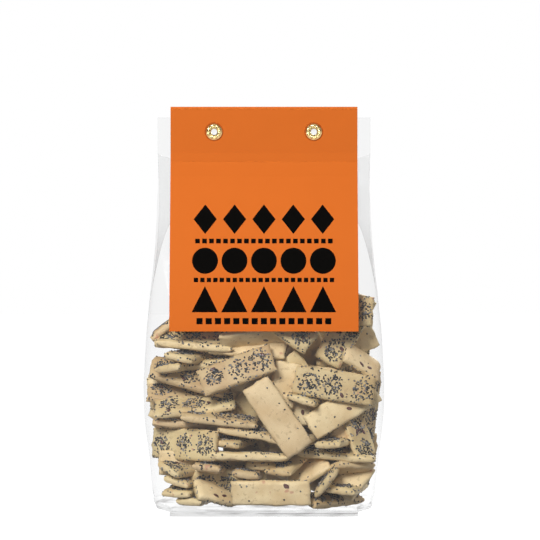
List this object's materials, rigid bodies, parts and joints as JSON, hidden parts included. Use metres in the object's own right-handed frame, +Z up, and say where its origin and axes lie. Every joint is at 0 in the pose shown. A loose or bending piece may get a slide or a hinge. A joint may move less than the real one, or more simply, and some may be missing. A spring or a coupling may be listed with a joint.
{
  "type": "bag of seeded crackers",
  "caption": "Clear block-bottomed bag filled with small oblong seeded crackers, closed by a folded orange card header held with brass eyelets.",
  "frame": {"origin": "middle of the base, on the surface that the bag stands on", "axes": "+Z up towards the card's fold, -Y towards the front, +X to the right seen from the front"},
  "size_m": [0.1356, 0.0668, 0.229],
  "materials": {
    "filled_bag": "baked crackers under glossy film",
    "orange_card": "matt card",
    "brass": "polished",
    "clear_film": "glossy film",
    "cracker": "baked, slightly glossy",
    "seed": "matt",
    "print": "matt ink"
  },
  "bodies": {
    "root": {"bag": "filled_bag", "header_card": "orange_card", "eyelet_left": "brass", "eyelet_right": "brass"}
  },
  "joints": []
}
